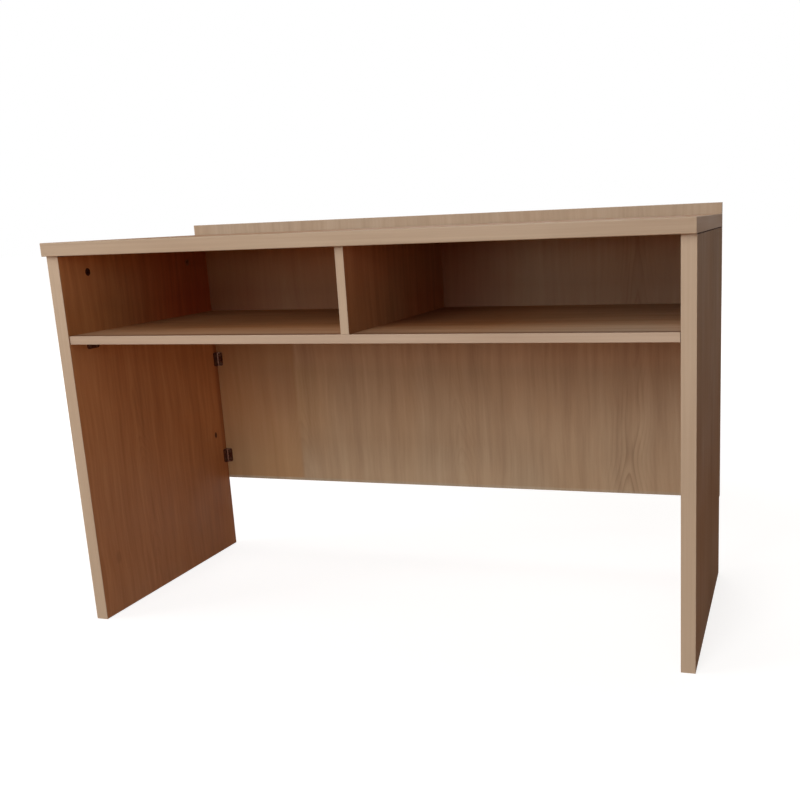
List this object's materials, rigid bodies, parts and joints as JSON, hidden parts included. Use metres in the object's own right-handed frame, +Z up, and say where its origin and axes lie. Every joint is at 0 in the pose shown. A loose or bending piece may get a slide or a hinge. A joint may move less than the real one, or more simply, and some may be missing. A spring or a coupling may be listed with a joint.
{
  "type": "office desk",
  "caption": "Office desk of laminated boards with two open compartments under the top, panel sides, and a tall back panel that hangs down as a modesty panel and rises a little above the top.",
  "frame": {"origin": "on the floor, under the middle of the desk", "axes": "+Z up; +X along the desk's width, to the user's right; -Y towards the user, +Y towards the back panel"},
  "size_m": [1.2, 0.516, 0.772],
  "materials": {
    "level_laminate": "matte beech-look laminate on chipboard, grain along the desk",
    "upright_laminate": "matte beech-look laminate on chipboard, upright grain",
    "edge_band": "satin beech-look edge band",
    "cam_zinc": "die-cast zinc alloy, satin",
    "bolt_steel": "zinc plated steel",
    "nut_nylon": "natural nylon",
    "dowel_beech": "plain beech dowel",
    "bracket_plastic": "dark brown moulded plastic",
    "screw_steel": "zinc plated steel"
  },
  "bodies": {
    "root": {"desktop_board": "level_laminate", "desktop_front_band": "edge_band", "desktop_left_band": "edge_band", "desktop_right_band": "edge_band", "left_side_board": "upright_laminate", "left_side_front_band": "edge_band", "left_side_back_band": "edge_band", "left_side_bottom_band": "edge_band", "right_side_board": "upright_laminate", "right_side_front_band": "edge_band", "right_side_back_band": "edge_band", "right_side_bottom_band": "edge_band", "shelf_board": "level_laminate", "shelf_front_band": "edge_band", "divider_board": "upright_laminate", "divider_front_band": "edge_band", "back_board": "upright_laminate", "back_top_band": "edge_band", "back_bottom_band": "edge_band", "back_left_band": "edge_band", "back_right_band": "edge_band", "side_cam_locks": "cam_zinc", "side_cam_bolts": "bolt_steel", "side_insert_nuts": "nut_nylon", "side_dowels": "dowel_beech", "back_cam_locks": "cam_zinc", "back_cam_bolts": "bolt_steel", "back_insert_nuts": "nut_nylon", "back_dowels": "dowel_beech", "side_back_brackets": "bracket_plastic", "side_back_screws": "screw_steel", "shelf_side_brackets": "bracket_plastic", "shelf_side_screws": "screw_steel", "shelf_back_brackets": "bracket_plastic", "shelf_back_screws": "screw_steel", "divider_dowels": "dowel_beech", "divider_screws": "screw_steel"}
  },
  "joints": []
}
